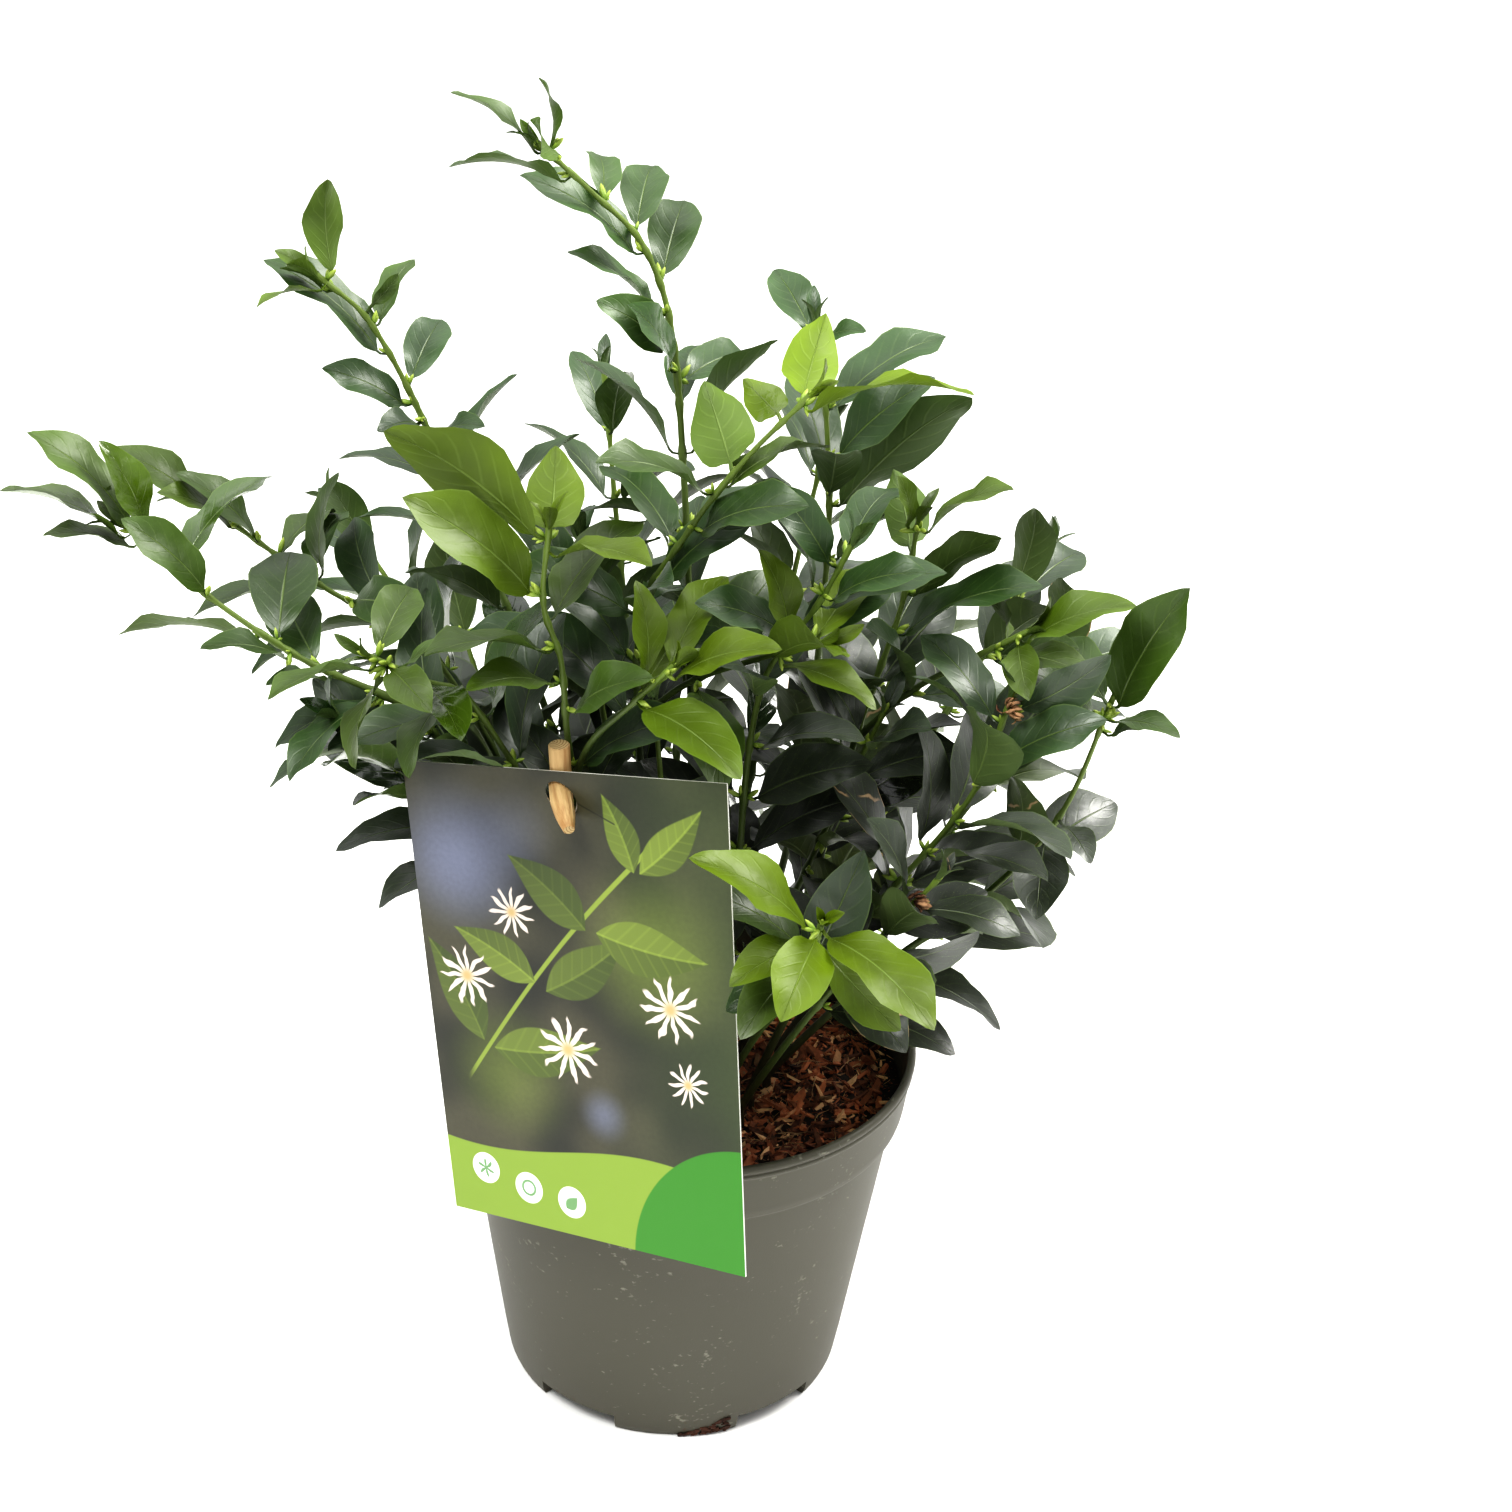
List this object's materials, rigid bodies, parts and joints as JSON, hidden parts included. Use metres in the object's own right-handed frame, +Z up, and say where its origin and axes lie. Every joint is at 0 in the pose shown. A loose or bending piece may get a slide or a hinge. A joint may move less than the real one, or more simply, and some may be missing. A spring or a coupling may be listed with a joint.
{
  "type": "potted sweet box",
  "caption": "Young evergreen shrub with glossy pointed leaves on slender stems, in a tapered nursery pot with a picture label on a stake.",
  "frame": {"origin": "middle of the flat underside of the pot, on the surface that the pot stands on", "axes": "+Z up along the pot's axis, -Y towards the side that the label faces, +X to that side's right"},
  "size_m": [0.4307, 0.3445, 0.5357],
  "materials": {
    "pot": "satin olive-grey polypropylene with pale scuffs",
    "soil": "moist reddish-brown bark and fibre compost",
    "leaf": "glossy green leaf, young ones yellow-green",
    "card": "printed label card, satin",
    "wood": "bare light softwood"
  },
  "bodies": {
    "root": {"pot": "pot", "soil": "soil", "label_card": "card", "label_stake": "wood", "label_peg": "wood", "stem_tall": "leaf", "stem_back_left": "leaf", "stem_left_arch": "leaf", "stem_left_upper": "leaf", "stem_left_front": "leaf", "stem_centre_front": "leaf", "stem_right_centre": "leaf", "stem_back_right": "leaf", "stem_right": "leaf", "stem_far_right": "leaf", "stem_low_right": "leaf", "stem_front_right": "leaf", "stem_mid_right": "leaf", "stem_inner_right": "leaf", "stem_inner_front": "leaf", "stem_low_front": "leaf", "stem_low_left": "leaf", "stem_inner_left": "leaf", "stem_back_centre": "leaf", "stem_back_mid": "leaf", "stem_back_far_right": "leaf", "stem_back_far_left": "leaf", "stem_side_right": "leaf", "stem_back_low": "leaf", "stem_back_low_right": "leaf", "stem_back_low_left": "leaf"}
  },
  "joints": []
}
